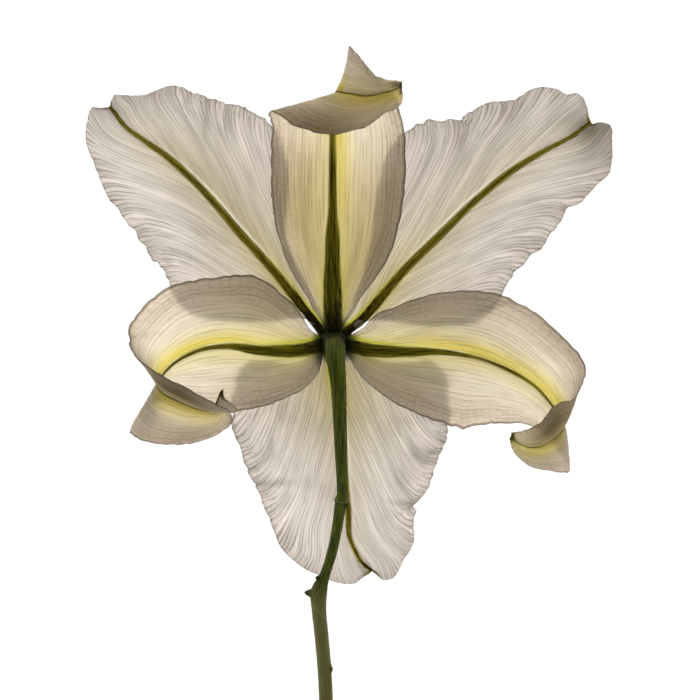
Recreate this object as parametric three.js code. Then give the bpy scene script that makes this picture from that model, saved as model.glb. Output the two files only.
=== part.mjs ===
// A lily flower on a cut length of stem, lying face down, in millimetres with +Z up.
// The inner tepals and the stem's cut end carry it. It is drawn with the receptacle over the
// origin, then moved so that the origin is the bottom centre of the whole flower's box.
import * as THREE from "three";

// Sheet thickness of a tepal, and how its cross-section is drawn.
const TEPAL_THICKNESS = 1.0;
const CREASE = 0.25; // share of a straight-sided ridge in the section, the rest is a smooth arch
const BELLY = 1.5; // how far each half blade bulges toward the flower's inside
const COLUMNS = 8; // quads across a tepal, even so that a column follows the midrib
const ROWS_PER_STATION = 3; // quads along a tepal between two stations of its rails

// Height of the receptacle's underside, and the clear gap left between touching pieces.
const RECEPTACLE_BASE = 46;
const GAP = 0.3;

// Each tepal hangs on three rails from claw to tip: its midrib and its two margins.
// Left and right are as seen from above, looking from the claw to the tip.
const TEPALS = {
  tepal_inner_left: {
    midrib: [[-3.5, 3.5, 51], [-11, 13, 48.5], [-22, 27, 41], [-34.5, 41, 31], [-47, 55.5, 21],
      [-59.5, 67.5, 13], [-69, 74.5, 9], [-76.5, 80, 8], [-80.5, 85, 8], [-82.5, 87.5, 10]],
    left: [[-4.5, 1.5, 51], [-9.5, 9, 49], [-36, 8, 37], [-53, 12.5, 25], [-63.3, 28, 14],
      [-73, 40, 7], [-83.4, 54.8, 3], [-91, 71.5, 0.5], [-91, 86, 3], [-83.5, 87, 9]],
    right: [[-1.5, 5, 51], [-7.5, 16.5, 47], [-16.5, 38.5, 39], [-16.5, 64, 29], [-24.2, 81.3, 19],
      [-38.8, 88.5, 11], [-50.5, 92.5, 6], [-59.8, 95.8, 2], [-80, 92.5, 3], [-82, 88.5, 9]],
  },
  tepal_inner_right: {
    midrib: [[3.5, 3.5, 51], [11.5, 10.5, 48.5], [24.5, 26, 41], [37.5, 39, 31], [51, 52.3, 21],
      [64.5, 63.5, 13], [76.5, 71, 9], [86, 76, 8], [90.5, 79, 8], [94, 82, 10]],
    left: [[1.5, 5, 51], [7.5, 16.5, 47], [13.5, 38.5, 39], [17.5, 64, 29], [28.5, 79.5, 19],
      [42.5, 82.5, 11], [54.5, 88.2, 6], [72.6, 94.8, 2], [90, 92.8, 3], [93.5, 83.5, 9]],
    right: [[4.5, 1.5, 51], [10.5, 8.5, 49], [37, 6.5, 36], [53, 9, 25], [65, 25, 14],
      [76.5, 37, 7], [88.7, 51.3, 3], [101, 64.5, 0.5], [102, 80.5, 3], [94.5, 81, 9]],
  },
  tepal_inner_bottom: {
    midrib: [[0, -4.5, 51], [0.5, -12, 46], [2, -23.5, 38], [3, -36, 28], [4, -49, 18],
      [5, -61, 11], [5.5, -70, 7], [8.5, -77.5, 5], [11, -81, 5], [14, -83, 7]],
    right: [[-2, -3.5, 51], [-12, -6, 45], [-30, -6, 36], [-35, -14.5, 25], [-37, -31, 14],
      [-31.4, -46.5, 8], [-25.2, -61.5, 4], [-16.8, -78.2, 2], [3.5, -88.3, 0.6], [13, -84, 6]],
    left: [[2, -3.5, 51], [15, -5.5, 45], [34.5, -6, 36], [40.5, -15, 25], [41, -31, 14],
      [36, -47.5, 8], [30, -61.5, 4], [28.3, -76, 2], [20.5, -86.5, 0.6], [15, -83.5, 6]],
  },
  tepal_outer_top: {
    midrib: [[0, 5, 54], [-0.5, 16, 54], [-0.5, 31, 52], [-0.5, 47, 48], [-0.5, 64, 44],
      [-0.5, 78.5, 43], [0.3, 88.7, 48], [5.5, 88.5, 56], [12, 87.5, 58], [17.5, 88.5, 59],
      [22, 90, 59], [24, 91.5, 59]],
    left: [[-2, 4.5, 54], [-8.5, 15, 53], [-16.5, 29.5, 50], [-21.5, 46, 46], [-22.5, 63, 43],
      [-22, 76.5, 43], [-22.5, 82.9, 48], [-13, 77, 55], [0.5, 74, 59], [14, 78.5, 61],
      [23.5, 84.5, 61], [24, 90.5, 59.5]],
    right: [[2, 4.5, 54], [8.5, 15, 53], [18.5, 29.5, 50], [24, 46, 46], [25.5, 65.5, 43],
      [23, 84.5, 44], [6.5, 105, 50], [10, 100.6, 55], [13.8, 95.5, 57], [17.5, 93.5, 58],
      [22, 93, 59], [24, 92.5, 58.5]],
  },
  tepal_outer_left: {
    midrib: [[-4.5, 0, 54], [-12.5, -2, 54], [-25.5, -2, 51], [-37.5, -0.5, 46], [-48.5, -2, 40],
      [-58, -7, 36], [-62.8, -13.3, 41], [-60.5, -17, 48], [-54.5, -20, 51], [-48, -22.5, 52],
      [-42.5, -22.5, 55], [-39.5, -16, 60]],
    left: [[-4, -2, 54], [-9, -14, 51], [-21, -20.5, 48], [-33.5, -23.5, 42], [-48, -24, 35],
      [-63, -20.5, 32], [-73, -30, 36], [-67, -34.5, 42], [-55, -35.5, 45], [-43, -32.5, 47],
      [-36, -27, 50], [-39.5, -17, 59]],
    right: [[-4, 2.5, 54], [-11.3, 7.8, 52.5], [-25.5, 23.5, 48], [-42.5, 24, 43], [-60.5, 20, 38],
      [-72.8, 8, 38], [-71.7, -2, 45], [-64, -9, 57], [-53, -14, 63], [-44, -19.5, 64],
      [-34.5, -23, 64], [-38.5, -15.5, 61]],
  },
  tepal_outer_right: {
    midrib: [[4.5, 0, 54], [13.5, -2, 54], [25, -2.5, 51], [37.5, -2.5, 46], [50.5, -4.5, 40],
      [62.5, -9, 36], [73.5, -16, 34], [81.5, -27, 41], [79.5, -31.5, 49], [73.5, -35.5, 52],
      [67.5, -35.5, 54], [62.5, -32, 56]],
    left: [[4, 2.5, 54], [13.3, 7.6, 52.5], [25, 15, 48], [41.5, 19.2, 43], [60.3, 17.9, 38],
      [76.3, 8.3, 36], [89.8, -6.5, 40], [86.5, -18, 49], [78.5, -20.5, 57], [73, -27, 61],
      [67, -30, 60], [62.5, -31, 57]],
    right: [[4, -2, 54], [10, -11.5, 51], [21.5, -20.5, 48], [34.5, -26.5, 42], [46, -29.5, 38],
      [59.5, -28, 34], [72.5, -30, 33], [83.3, -44, 40], [78, -45, 45], [69.5, -43, 48],
      [63.5, -37, 51], [62, -33, 55]],
  },
};

// The stem from the receptacle's underside to its cut end, as centre points and radii.
const STEM_PATH = [[0, 0.5, RECEPTACLE_BASE], [0, 0.5, 58], [0.5, -0.5, 66], [0.5, -4, 71.5],
  [1.5, -12, 73], [2, -22.5, 69], [2.5, -37, 61], [3, -51.5, 52], [2.5, -55.5, 49],
  [1, -66, 42], [-1, -75.5, 35], [-3.5, -83.5, 29.5], [-5.5, -89.5, 25.5], [-5.5, -97, 20.5],
  [-4.5, -108, 14], [-3.5, -121.5, 7.5], [-3, -135, 3.3], [-3, -150, 2.5]];
const STEM_RADII = [3.4, 3.5, 3.5, 3.3, 2.8, 2.5, 2.2, 1.95, 2.1, 1.85, 1.8, 1.9, 3.0, 2.6,
  2.5, 2.5, 2.5, 2.5];

// Stamens: one lies under each tepal, all on one profile of (distance from the axis, height).
const STAMEN_HEADINGS = {
  east: 0, northeast: 41, north: 90, northwest: 134, west: 180, south: 270,
};
const FILAMENT_PROFILE = [[2.6, RECEPTACLE_BASE - 2 * GAP], [4.5, 42], [9, 35], [18, 26], [30, 17],
  [41, 10.5], [50, 8]];
const FILAMENT_RADII = [0.8, 0.9, 0.9, 0.8, 0.7, 0.6, 0.35];
const ANTHER_CENTRE = [52.6, 7.8]; // distance from the axis, height
const ANTHER_LENGTH = 20;
const ANTHER_RADIUS = 1.8;
const ANTHER_TURN = 70; // degrees between the anther and its filament, seen from above
const AXIS_Y = 0.5; // the flower's axis stands this far up the page from the origin

// Pistil: ovary, style and stigma as one grown piece, on the same kind of profile.
const PISTIL_HEADING = 315;
const PISTIL_PROFILE = [[0, RECEPTACLE_BASE - GAP], [0, 42], [0, 36], [0, 30], [0.3, 26.5],
  [2, 21.5], [7, 15.5], [15, 11], [24, 9], [33, 8.2], [37, 8], [40, 8]];
const PISTIL_RADII = [1.2, 1.7, 2.3, 2.2, 1.4, 1.1, 1.0, 1.0, 1.0, 1.1, 2.4, 3.2];

const FINISHES = {
  tepal: { color: 0xd8ccbe, roughness: 0.6, metalness: 0 },
  stem: { color: 0x4a5020, roughness: 0.5, metalness: 0 },
  filament: { color: 0xc9cf9a, roughness: 0.5, metalness: 0 },
  anther: { color: 0x8a4a1c, roughness: 0.9, metalness: 0 },
  pistil: { color: 0x8c9a50, roughness: 0.45, metalness: 0 },
};

// A smooth curve through points given as [x, y, z].
function spline(points) {
  const vectors = points.map((p) => new THREE.Vector3(...p));
  return new THREE.CatmullRomCurve3(vectors, false, "catmullrom", 0.5);
}

// A mesh from grids of points: quads between neighbouring rows, given as lists of vertex numbers.
function meshFrom(name, finish, points, quads, triangles) {
  const index = [...triangles];
  for (const [a, b, c, d] of quads) {
    index.push([a, b, c], [a, c, d]);
  }
  const geometry = new THREE.BufferGeometry();
  const numbers = points.flatMap((p) => p.toArray());
  geometry.setAttribute("position", new THREE.Float32BufferAttribute(numbers, 3));
  geometry.setIndex(index.flat());
  geometry.computeVertexNormals();
  const mesh = new THREE.Mesh(geometry, new THREE.MeshStandardMaterial(FINISHES[finish]));
  mesh.name = name;
  return mesh;
}

// The middle surface of a tepal as rows of points from its three rails.
function middleSurface(rails) {
  const curves = [rails.left, rails.midrib, rails.right].map(spline);
  const rows = (rails.midrib.length - 1) * ROWS_PER_STATION;
  const grid = [];
  for (let i = 0; i <= rows; i += 1) {
    const [left, middle, right] = curves.map((curve) => curve.getPoint(i / rows));
    const half = right.clone().sub(left).multiplyScalar(0.5);
    const rise = right.clone().add(left).multiplyScalar(0.5).sub(middle);
    const row = [];
    for (let j = 0; j <= COLUMNS; j += 1) {
      const t = (2 * j) / COLUMNS - 1;
      const arch = middle.clone().addScaledVector(half, t).addScaledVector(rise, t * t);
      const ridge = middle.clone().lerp(t < 0 ? left : right, Math.abs(t));
      row.push(arch.lerp(ridge, CREASE));
    }
    grid.push(row);
  }
  return grid;
}

// Unit normals of a grid of points, on the side that faces the flower's inside.
function gridNormals(grid) {
  return grid.map((row, i) => row.map((point, j) => {
    const before = grid[Math.max(i - 1, 0)][j];
    const after = grid[Math.min(i + 1, grid.length - 1)][j];
    const along = after.clone().sub(before);
    const across = row[Math.min(j + 1, COLUMNS)].clone().sub(row[Math.max(j - 1, 0)]);
    return along.cross(across).normalize();
  }));
}

// A tepal: the middle surface, bellied between midrib and margins, thickened to a closed sheet.
function tepal(name, rails) {
  const flat = middleSurface(rails);
  const flatNormals = gridNormals(flat);
  const rows = flat.length - 1;
  const grid = flat.map((row, i) => row.map((point, j) => {
    const out = Math.abs((2 * j) / COLUMNS - 1);
    const along = Math.sin((Math.PI * i) / rows) ** 0.7;
    return point.clone().addScaledVector(flatNormals[i][j], BELLY * 4 * out * (1 - out) * along);
  }));
  const normals = gridNormals(grid);
  const width = COLUMNS + 1;
  const count = grid.length * width;
  const faces = [1, -1].map((side) => grid.flatMap((row, i) => row.map((point, j) => (
    point.clone().addScaledVector(normals[i][j], (side * TEPAL_THICKNESS) / 2)))));
  const quads = [];
  for (let i = 0; i < rows; i += 1) {
    for (let j = 0; j < COLUMNS; j += 1) {
      const a = i * width + j;
      const b = a + width;
      quads.push([a, b, b + 1, a + 1], [count + a, count + a + 1, count + b + 1, count + b]);
    }
    const first = i * width;
    const last = first + COLUMNS;
    quads.push([first, first + count, first + width + count, first + width]);
    quads.push([last, last + width, last + width + count, last + count]);
  }
  for (let j = 0; j < COLUMNS; j += 1) {
    const end = rows * width + j;
    quads.push([j, j + 1, j + 1 + count, j + count]);
    quads.push([end, end + count, end + 1 + count, end + 1]);
  }
  return meshFrom(name, "tepal", faces.flat(), quads, []);
}

// A closed round body that follows a path with a radius at every point of it.
function tube(name, finish, path, radii, rows, sides) {
  const centre = spline(path);
  const radius = spline(radii.map((r) => [r, 0, 0]));
  const frames = centre.computeFrenetFrames(rows);
  const points = [];
  for (let i = 0; i <= rows; i += 1) {
    const t = i / rows;
    const middle = centre.getPoint(t);
    const tangent = centre.getTangent(t);
    const across = frames.normals[i].clone().projectOnPlane(tangent).normalize();
    const up = tangent.clone().cross(across);
    const r = radius.getPoint(t).x;
    for (let j = 0; j < sides; j += 1) {
      const angle = (2 * Math.PI * j) / sides;
      const point = middle.clone().addScaledVector(across, r * Math.cos(angle));
      points.push(point.addScaledVector(up, r * Math.sin(angle)));
    }
  }
  const quads = [];
  for (let i = 0; i < rows; i += 1) {
    for (let j = 0; j < sides; j += 1) {
      const a = i * sides + j;
      const b = i * sides + ((j + 1) % sides);
      quads.push([a, b, b + sides, a + sides]);
    }
  }
  const start = points.push(centre.getPoint(0)) - 1;
  const end = points.push(centre.getPoint(1)) - 1;
  const triangles = [];
  for (let j = 0; j < sides; j += 1) {
    const next = (j + 1) % sides;
    triangles.push([start, next, j], [end, rows * sides + j, rows * sides + next]);
  }
  return meshFrom(name, finish, points, quads, triangles);
}

// Points of a (distance, height) profile laid out on one heading from the flower's axis.
function onHeading(profile, degrees) {
  const angle = THREE.MathUtils.degToRad(degrees);
  return profile.map(([r, z]) => [r * Math.cos(angle), AXIS_Y + r * Math.sin(angle), z]);
}

// An anther: a rounded bar across the end of its filament.
function anther(name, heading) {
  const [[x, y, z]] = onHeading([ANTHER_CENTRE], heading);
  const angle = THREE.MathUtils.degToRad(heading + ANTHER_TURN);
  const shares = [-0.5, -0.46, -0.3, 0, 0.3, 0.46, 0.5];
  const path = shares.map((share) => [
    x + share * ANTHER_LENGTH * Math.cos(angle), y + share * ANTHER_LENGTH * Math.sin(angle), z]);
  const radii = [0.35, 0.6, 0.95, 1, 0.95, 0.6, 0.35].map((share) => share * ANTHER_RADIUS);
  return tube(name, "anther", path, radii, 12, 10);
}

const flower = new THREE.Group();
flower.name = "lily_flower";
for (const [name, rails] of Object.entries(TEPALS)) {
  flower.add(tepal(name, rails));
}
flower.add(tube("stem", "stem", STEM_PATH, STEM_RADII, 51, 16));
for (const [side, heading] of Object.entries(STAMEN_HEADINGS)) {
  const path = onHeading(FILAMENT_PROFILE, heading);
  flower.add(tube(`filament_${side}`, "filament", path, FILAMENT_RADII, 18, 8));
  flower.add(anther(`anther_${side}`, heading));
}
const pistilPath = onHeading(PISTIL_PROFILE, PISTIL_HEADING);
flower.add(tube("pistil", "pistil", pistilPath, PISTIL_RADII, 33, 12));

const box = new THREE.Box3().setFromObject(flower, true);
const centre = box.getCenter(new THREE.Vector3());
for (const mesh of flower.children) {
  mesh.geometry.translate(-centre.x, -centre.y, -box.min.z);
}

export default flower;
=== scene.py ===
"""A lily flower lying face down on a cut length of stem, seen from the stem side.

Every piece is a surface worked out on a grid of two parameters, in metres, in the frame
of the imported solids. Tepals are thin closed sheets that let the light of the table through.
"""

import logging
from dataclasses import dataclass, field
from enum import Enum
from functools import partial
from typing import Any, Callable, Iterable, Mapping, Sequence

import bpy
import numpy as np
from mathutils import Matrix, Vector

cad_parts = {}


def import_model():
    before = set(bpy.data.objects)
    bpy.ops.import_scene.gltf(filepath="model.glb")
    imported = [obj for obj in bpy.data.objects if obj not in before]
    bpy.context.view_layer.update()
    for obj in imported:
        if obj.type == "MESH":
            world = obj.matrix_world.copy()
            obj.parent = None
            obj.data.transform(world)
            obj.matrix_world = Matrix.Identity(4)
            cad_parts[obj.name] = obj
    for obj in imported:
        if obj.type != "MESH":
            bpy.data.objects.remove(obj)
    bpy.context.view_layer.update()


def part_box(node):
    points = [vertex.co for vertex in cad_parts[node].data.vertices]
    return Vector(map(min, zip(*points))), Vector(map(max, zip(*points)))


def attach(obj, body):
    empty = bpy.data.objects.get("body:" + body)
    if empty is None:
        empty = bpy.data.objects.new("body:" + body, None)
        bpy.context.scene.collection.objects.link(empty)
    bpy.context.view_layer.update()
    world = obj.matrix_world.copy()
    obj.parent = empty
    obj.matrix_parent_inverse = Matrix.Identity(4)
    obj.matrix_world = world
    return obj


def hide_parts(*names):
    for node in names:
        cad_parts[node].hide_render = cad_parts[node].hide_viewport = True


LOG = logging.getLogger("lily")
MM = 0.001

Points = Sequence[tuple[float, float, float]]
Stops = Sequence[tuple[float, float]]
Grid = np.ndarray
Adder = Callable[..., Any]


class Side(Enum):
    """The two margins of a tepal, seen from above, looking from the claw to the tip."""

    LEFT = -1
    RIGHT = 1


class Venation(Enum):
    """How the veins of a tepal run."""

    FANNED = "fanned"
    PARALLEL = "parallel"


# ---------------------------------------------------------------- numbers and curves


def linear(hex_colour: str, alpha: float = 1.0) -> tuple[float, float, float, float]:
    """Turn an sRGB hex colour into linear light.

    Args:
        hex_colour: Six hex digits after a hash sign.
        alpha: The fourth number of the result.

    Returns:
        Red, green, blue and alpha, in linear light.
    """
    text = hex_colour.lstrip("#")
    srgb = np.array([int(text[i : i + 2], 16) for i in (0, 2, 4)]) / 255
    light = np.where(srgb <= 0.04045, srgb / 12.92, ((srgb + 0.055) / 1.055) ** 2.4)
    return (float(light[0]), float(light[1]), float(light[2]), alpha)


def spline(points: np.ndarray, at: np.ndarray) -> np.ndarray:
    """Follow a uniform Catmull-Rom curve through points.

    Between two points the curve is the cubic that passes through both with tangents of
    half the chord between their neighbours. The ends are carried on in a straight line.

    Args:
        points: One row of coordinates for each point.
        at: Places along the curve, from 0 at the first point to 1 at the last.

    Returns:
        One row of coordinates for each place.
    """
    count = len(points)
    padded = np.vstack([2 * points[0] - points[1], points, 2 * points[-1] - points[-2]])
    place = np.clip(at * (count - 1), 0, count - 1 - 1e-9)
    first = place.astype(int)
    w = (place - first)[:, None]
    a, b, c, d = (padded[first + k] for k in range(4))
    return 0.5 * (
        2 * b + (c - a) * w + (2 * a - 5 * b + 4 * c - d) * w**2 + (3 * b - a - 3 * c + d) * w**3
    )


def profile(stops: Stops, at: np.ndarray) -> np.ndarray:
    """Read a smooth profile given as (place, value) stops, with eased steps between them.

    Args:
        stops: Places in rising order, each with its value.
        at: Places to read.

    Returns:
        One value for each place.
    """
    places = np.array([stop[0] for stop in stops])
    values = np.array([stop[1] for stop in stops])
    index = np.clip(np.searchsorted(places, at, side="right") - 1, 0, len(places) - 2)
    w = np.clip((at - places[index]) / (places[index + 1] - places[index]), 0, 1)
    w = w * w * (3 - 2 * w)
    return values[index] * (1 - w) + values[index + 1] * w


def unit(vectors: np.ndarray) -> np.ndarray:
    """Scale vectors along the last axis to length one."""
    return vectors / np.maximum(np.linalg.norm(vectors, axis=-1, keepdims=True), 1e-12)


def smooth_noise(x: np.ndarray, y: np.ndarray, seed: int) -> np.ndarray:
    """Evaluate value noise: random numbers on whole-number corners, eased between them.

    Args:
        x: First coordinate, in cells.
        y: Second coordinate, in cells, of the same shape.
        seed: Picks the random numbers.

    Returns:
        Values from -1 to 1.
    """
    table = np.random.default_rng(seed).uniform(-1, 1, (64, 64))
    column, row = np.floor(x).astype(int), np.floor(y).astype(int)
    u, v = x - column, y - row
    u, v = u * u * (3 - 2 * u), v * v * (3 - 2 * v)
    corner = [table[(column + i) % 64, (row + j) % 64] for j in (0, 1) for i in (0, 1)]
    low = corner[0] * (1 - u) + corner[1] * u
    high = corner[2] * (1 - u) + corner[3] * u
    return low * (1 - v) + high * v


def grid_normals(grid: Grid) -> Grid:
    """Find unit normals of a grid of points as the cross product of its two directions."""
    return unit(np.cross(np.gradient(grid, axis=0), np.gradient(grid, axis=1)))


def run_length(grid: Grid, axis: int) -> np.ndarray:
    """Add up the distances walked along one axis of a grid, starting from zero.

    Args:
        grid: Points.
        axis: The axis to walk along.

    Returns:
        The distance to each point.
    """
    steps = np.linalg.norm(np.diff(grid, axis=axis), axis=-1)
    start = np.zeros_like(np.take(steps, [0], axis=axis))
    return np.concatenate([start, np.cumsum(steps, axis=axis)], axis=axis)


# ---------------------------------------------------------------- meshes


def make_piece(
    name: str,
    points: np.ndarray,
    quads: np.ndarray,
    triangles: np.ndarray,
    maps: Mapping[str, np.ndarray],
    fields: Mapping[str, np.ndarray],
    material: bpy.types.Material,
) -> bpy.types.Object:
    """Put one closed surface into the scene.

    Args:
        name: The piece's name.
        points: Coordinates in metres, one row for each point.
        quads: Four point numbers for each four-sided face.
        triangles: Three point numbers for each three-sided face.
        maps: Two numbers for each point, stored as named maps, in millimetres.
        fields: Numbers for each point, stored as named attributes.
        material: The finish.

    Returns:
        The new object, at the origin.
    """
    mesh = bpy.data.meshes.new(name)
    mesh.from_pydata(points.tolist(), [], quads.tolist() + triangles.tolist())
    corners = np.empty(len(mesh.loops), dtype=np.int32)
    mesh.loops.foreach_get("vertex_index", corners)
    for label, pairs in maps.items():
        layer = mesh.uv_layers.new(name=label)
        layer.data.foreach_set("uv", pairs[corners].astype(np.float32).ravel())
    for label, values in fields.items():
        attribute = mesh.attributes.new(label, "FLOAT", "POINT")
        attribute.data.foreach_set("value", values.astype(np.float32).ravel())
    mesh.polygons.foreach_set("use_smooth", np.ones(len(mesh.polygons), dtype=bool))
    mesh.materials.append(material)
    mesh.validate()
    piece = bpy.data.objects.new(name, mesh)
    bpy.context.scene.collection.objects.link(piece)
    return piece


def place_piece(piece: bpy.types.Object, node: str) -> None:
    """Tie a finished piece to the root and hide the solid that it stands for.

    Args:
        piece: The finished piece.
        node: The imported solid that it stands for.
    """
    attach(piece, "root")
    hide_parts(node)
    LOG.info("%s: %d faces, for %s", piece.name, len(piece.data.polygons), node)


def sheet_faces(rows: int, columns: int) -> np.ndarray:
    """List the quads of a closed sheet: two grids of points joined along their rim.

    The first grid's faces follow its rows then its columns, the second grid's run the
    other way, and each rim step is one quad between the two.

    Args:
        rows: Points along the sheet.
        columns: Points across it.

    Returns:
        Four point numbers for each face.
    """
    number = np.arange(rows * columns).reshape(rows, columns)
    a, b = number[:-1, :-1].ravel(), number[1:, :-1].ravel()
    c, d = number[1:, 1:].ravel(), number[:-1, 1:].ravel()
    front = np.stack([a, b, c, d], axis=1)
    back = np.stack([a, d, c, b], axis=1) + rows * columns
    rim = np.concatenate([number[0, :], number[1:, -1], number[-1, -2::-1], number[-2:0:-1, 0]])
    after = np.roll(rim, -1)
    edge = np.stack([rim, after, after + rows * columns, rim + rows * columns], axis=1)
    return np.concatenate([front, back, edge])


@dataclass
class Tube:
    """A closed round body that follows a path, as a grid of rings."""

    path: np.ndarray
    radii: np.ndarray
    rows: int
    sides: int
    points: np.ndarray = field(init=False)
    outward: np.ndarray = field(init=False)
    place: np.ndarray = field(init=False)
    angle: np.ndarray = field(init=False)
    length: np.ndarray = field(init=False)

    def __post_init__(self) -> None:
        """Lay out rings: centre plus radius times the cosine and sine of two side vectors."""
        self.place = np.linspace(0, 1, self.rows)
        centre = spline(self.path, self.place)
        radius = spline(self.radii[:, None], self.place)
        tangent = unit(np.gradient(centre, axis=0))
        guide = np.where(np.abs(tangent[:1, :1]) < 0.9, [[1.0, 0.0, 0.0]], [[0.0, 1.0, 0.0]])
        across = unit(guide - tangent * np.sum(guide * tangent, axis=1, keepdims=True))
        up = np.cross(tangent, across)
        self.angle = np.arange(self.sides) * 2 * np.pi / self.sides
        cosine, sine = np.cos(self.angle)[None, :, None], np.sin(self.angle)[None, :, None]
        self.outward = across[:, None] * cosine + up[:, None] * sine
        self.points = centre[:, None] + self.outward * radius[:, None]
        self.length = run_length(centre[:, None], 0)[:, 0]

    def swell(self, amount: np.ndarray) -> None:
        """Move every point outward by its own amount, in metres."""
        self.points = self.points + self.outward * amount[..., None]

    def piece(
        self,
        name: str,
        material: bpy.types.Material,
        fields: Mapping[str, np.ndarray],
    ) -> bpy.types.Object:
        """Close both ends with a fan and make the mesh.

        Args:
            name: The piece's name.
            material: The finish.
            fields: Grids of numbers to store as attributes.

        Returns:
            The new object.
        """
        number = np.arange(self.rows * self.sides).reshape(self.rows, self.sides)
        beside = np.roll(number, -1, axis=1)
        quads = np.stack(
            [number[:-1], beside[:-1], beside[1:], number[1:]], axis=-1
        ).reshape(-1, 4)
        first, last = self.rows * self.sides, self.rows * self.sides + 1
        start = np.stack([np.full(self.sides, first), beside[0], number[0]], axis=1)
        finish = np.stack([np.full(self.sides, last), number[-1], beside[-1]], axis=1)
        ends = np.stack([self.points[0].mean(axis=0), self.points[-1].mean(axis=0)])
        points = np.concatenate([self.points.reshape(-1, 3), ends])
        around = np.broadcast_to(self.angle[None, :], number.shape) / (2 * np.pi)
        around = np.abs(2 * around - 1)
        along = np.broadcast_to(self.length[:, None], number.shape) / MM
        flat = np.stack([around.ravel() * 10, along.ravel()], axis=1)
        uv = np.concatenate([flat, [[0, along[0, 0]], [0, along[-1, 0]]]])
        closed = {
            label: np.concatenate([grid.ravel(), [grid[0].mean(), grid[-1].mean()]])
            for label, grid in fields.items()
        }
        ends = np.concatenate([start, finish])
        return make_piece(name, points, quads, ends, {"grain": uv}, closed, material)


# ---------------------------------------------------------------- shader building


def add_node(
    tree: bpy.types.NodeTree,
    kind: str,
    sockets: Mapping[Any, Any] | None = None,
    out: int | str | None = 0,
    stops: Iterable[tuple[float, Any]] = (),
    **settings: Any,
) -> Any:
    """Add one shader node with its settings, its socket values and its links.

    Args:
        tree: The material's node tree.
        kind: The node's type name.
        sockets: Input name or number to a value, or to an output socket to link from.
        out: Name or number of the output wanted, or None for a node without outputs.
        stops: Places and colours, for a node with a colour ramp.
        settings: Properties to set on the node.

    Returns:
        The output wanted.
    """
    node = tree.nodes.new(kind)
    for label, value in settings.items():
        setattr(node, label, value)
    for key, value in (sockets or {}).items():
        if isinstance(value, bpy.types.NodeSocket):
            tree.links.new(value, node.inputs[key])
        else:
            node.inputs[key].default_value = value
    for index, (place, colour) in enumerate(stops):
        ramp = node.color_ramp.elements
        stop = ramp[index] if index < len(ramp) else ramp.new(place)
        stop.position, stop.color = place, colour
    return None if out is None else node.outputs[out]


def blank_material(name: str) -> tuple[bpy.types.Material, Adder]:
    """Make a material with an empty node tree.

    Args:
        name: The material's name.

    Returns:
        The material, and add_node bound to its tree.
    """
    material = bpy.data.materials.new(name)
    material.use_nodes = True
    material.node_tree.nodes.clear()
    return material, partial(add_node, material.node_tree)


def grey(value: float) -> tuple[float, float, float, float]:
    """Give a grey of one linear value."""
    return (value, value, value, 1.0)


# ---------------------------------------------------------------- finishes


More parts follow.
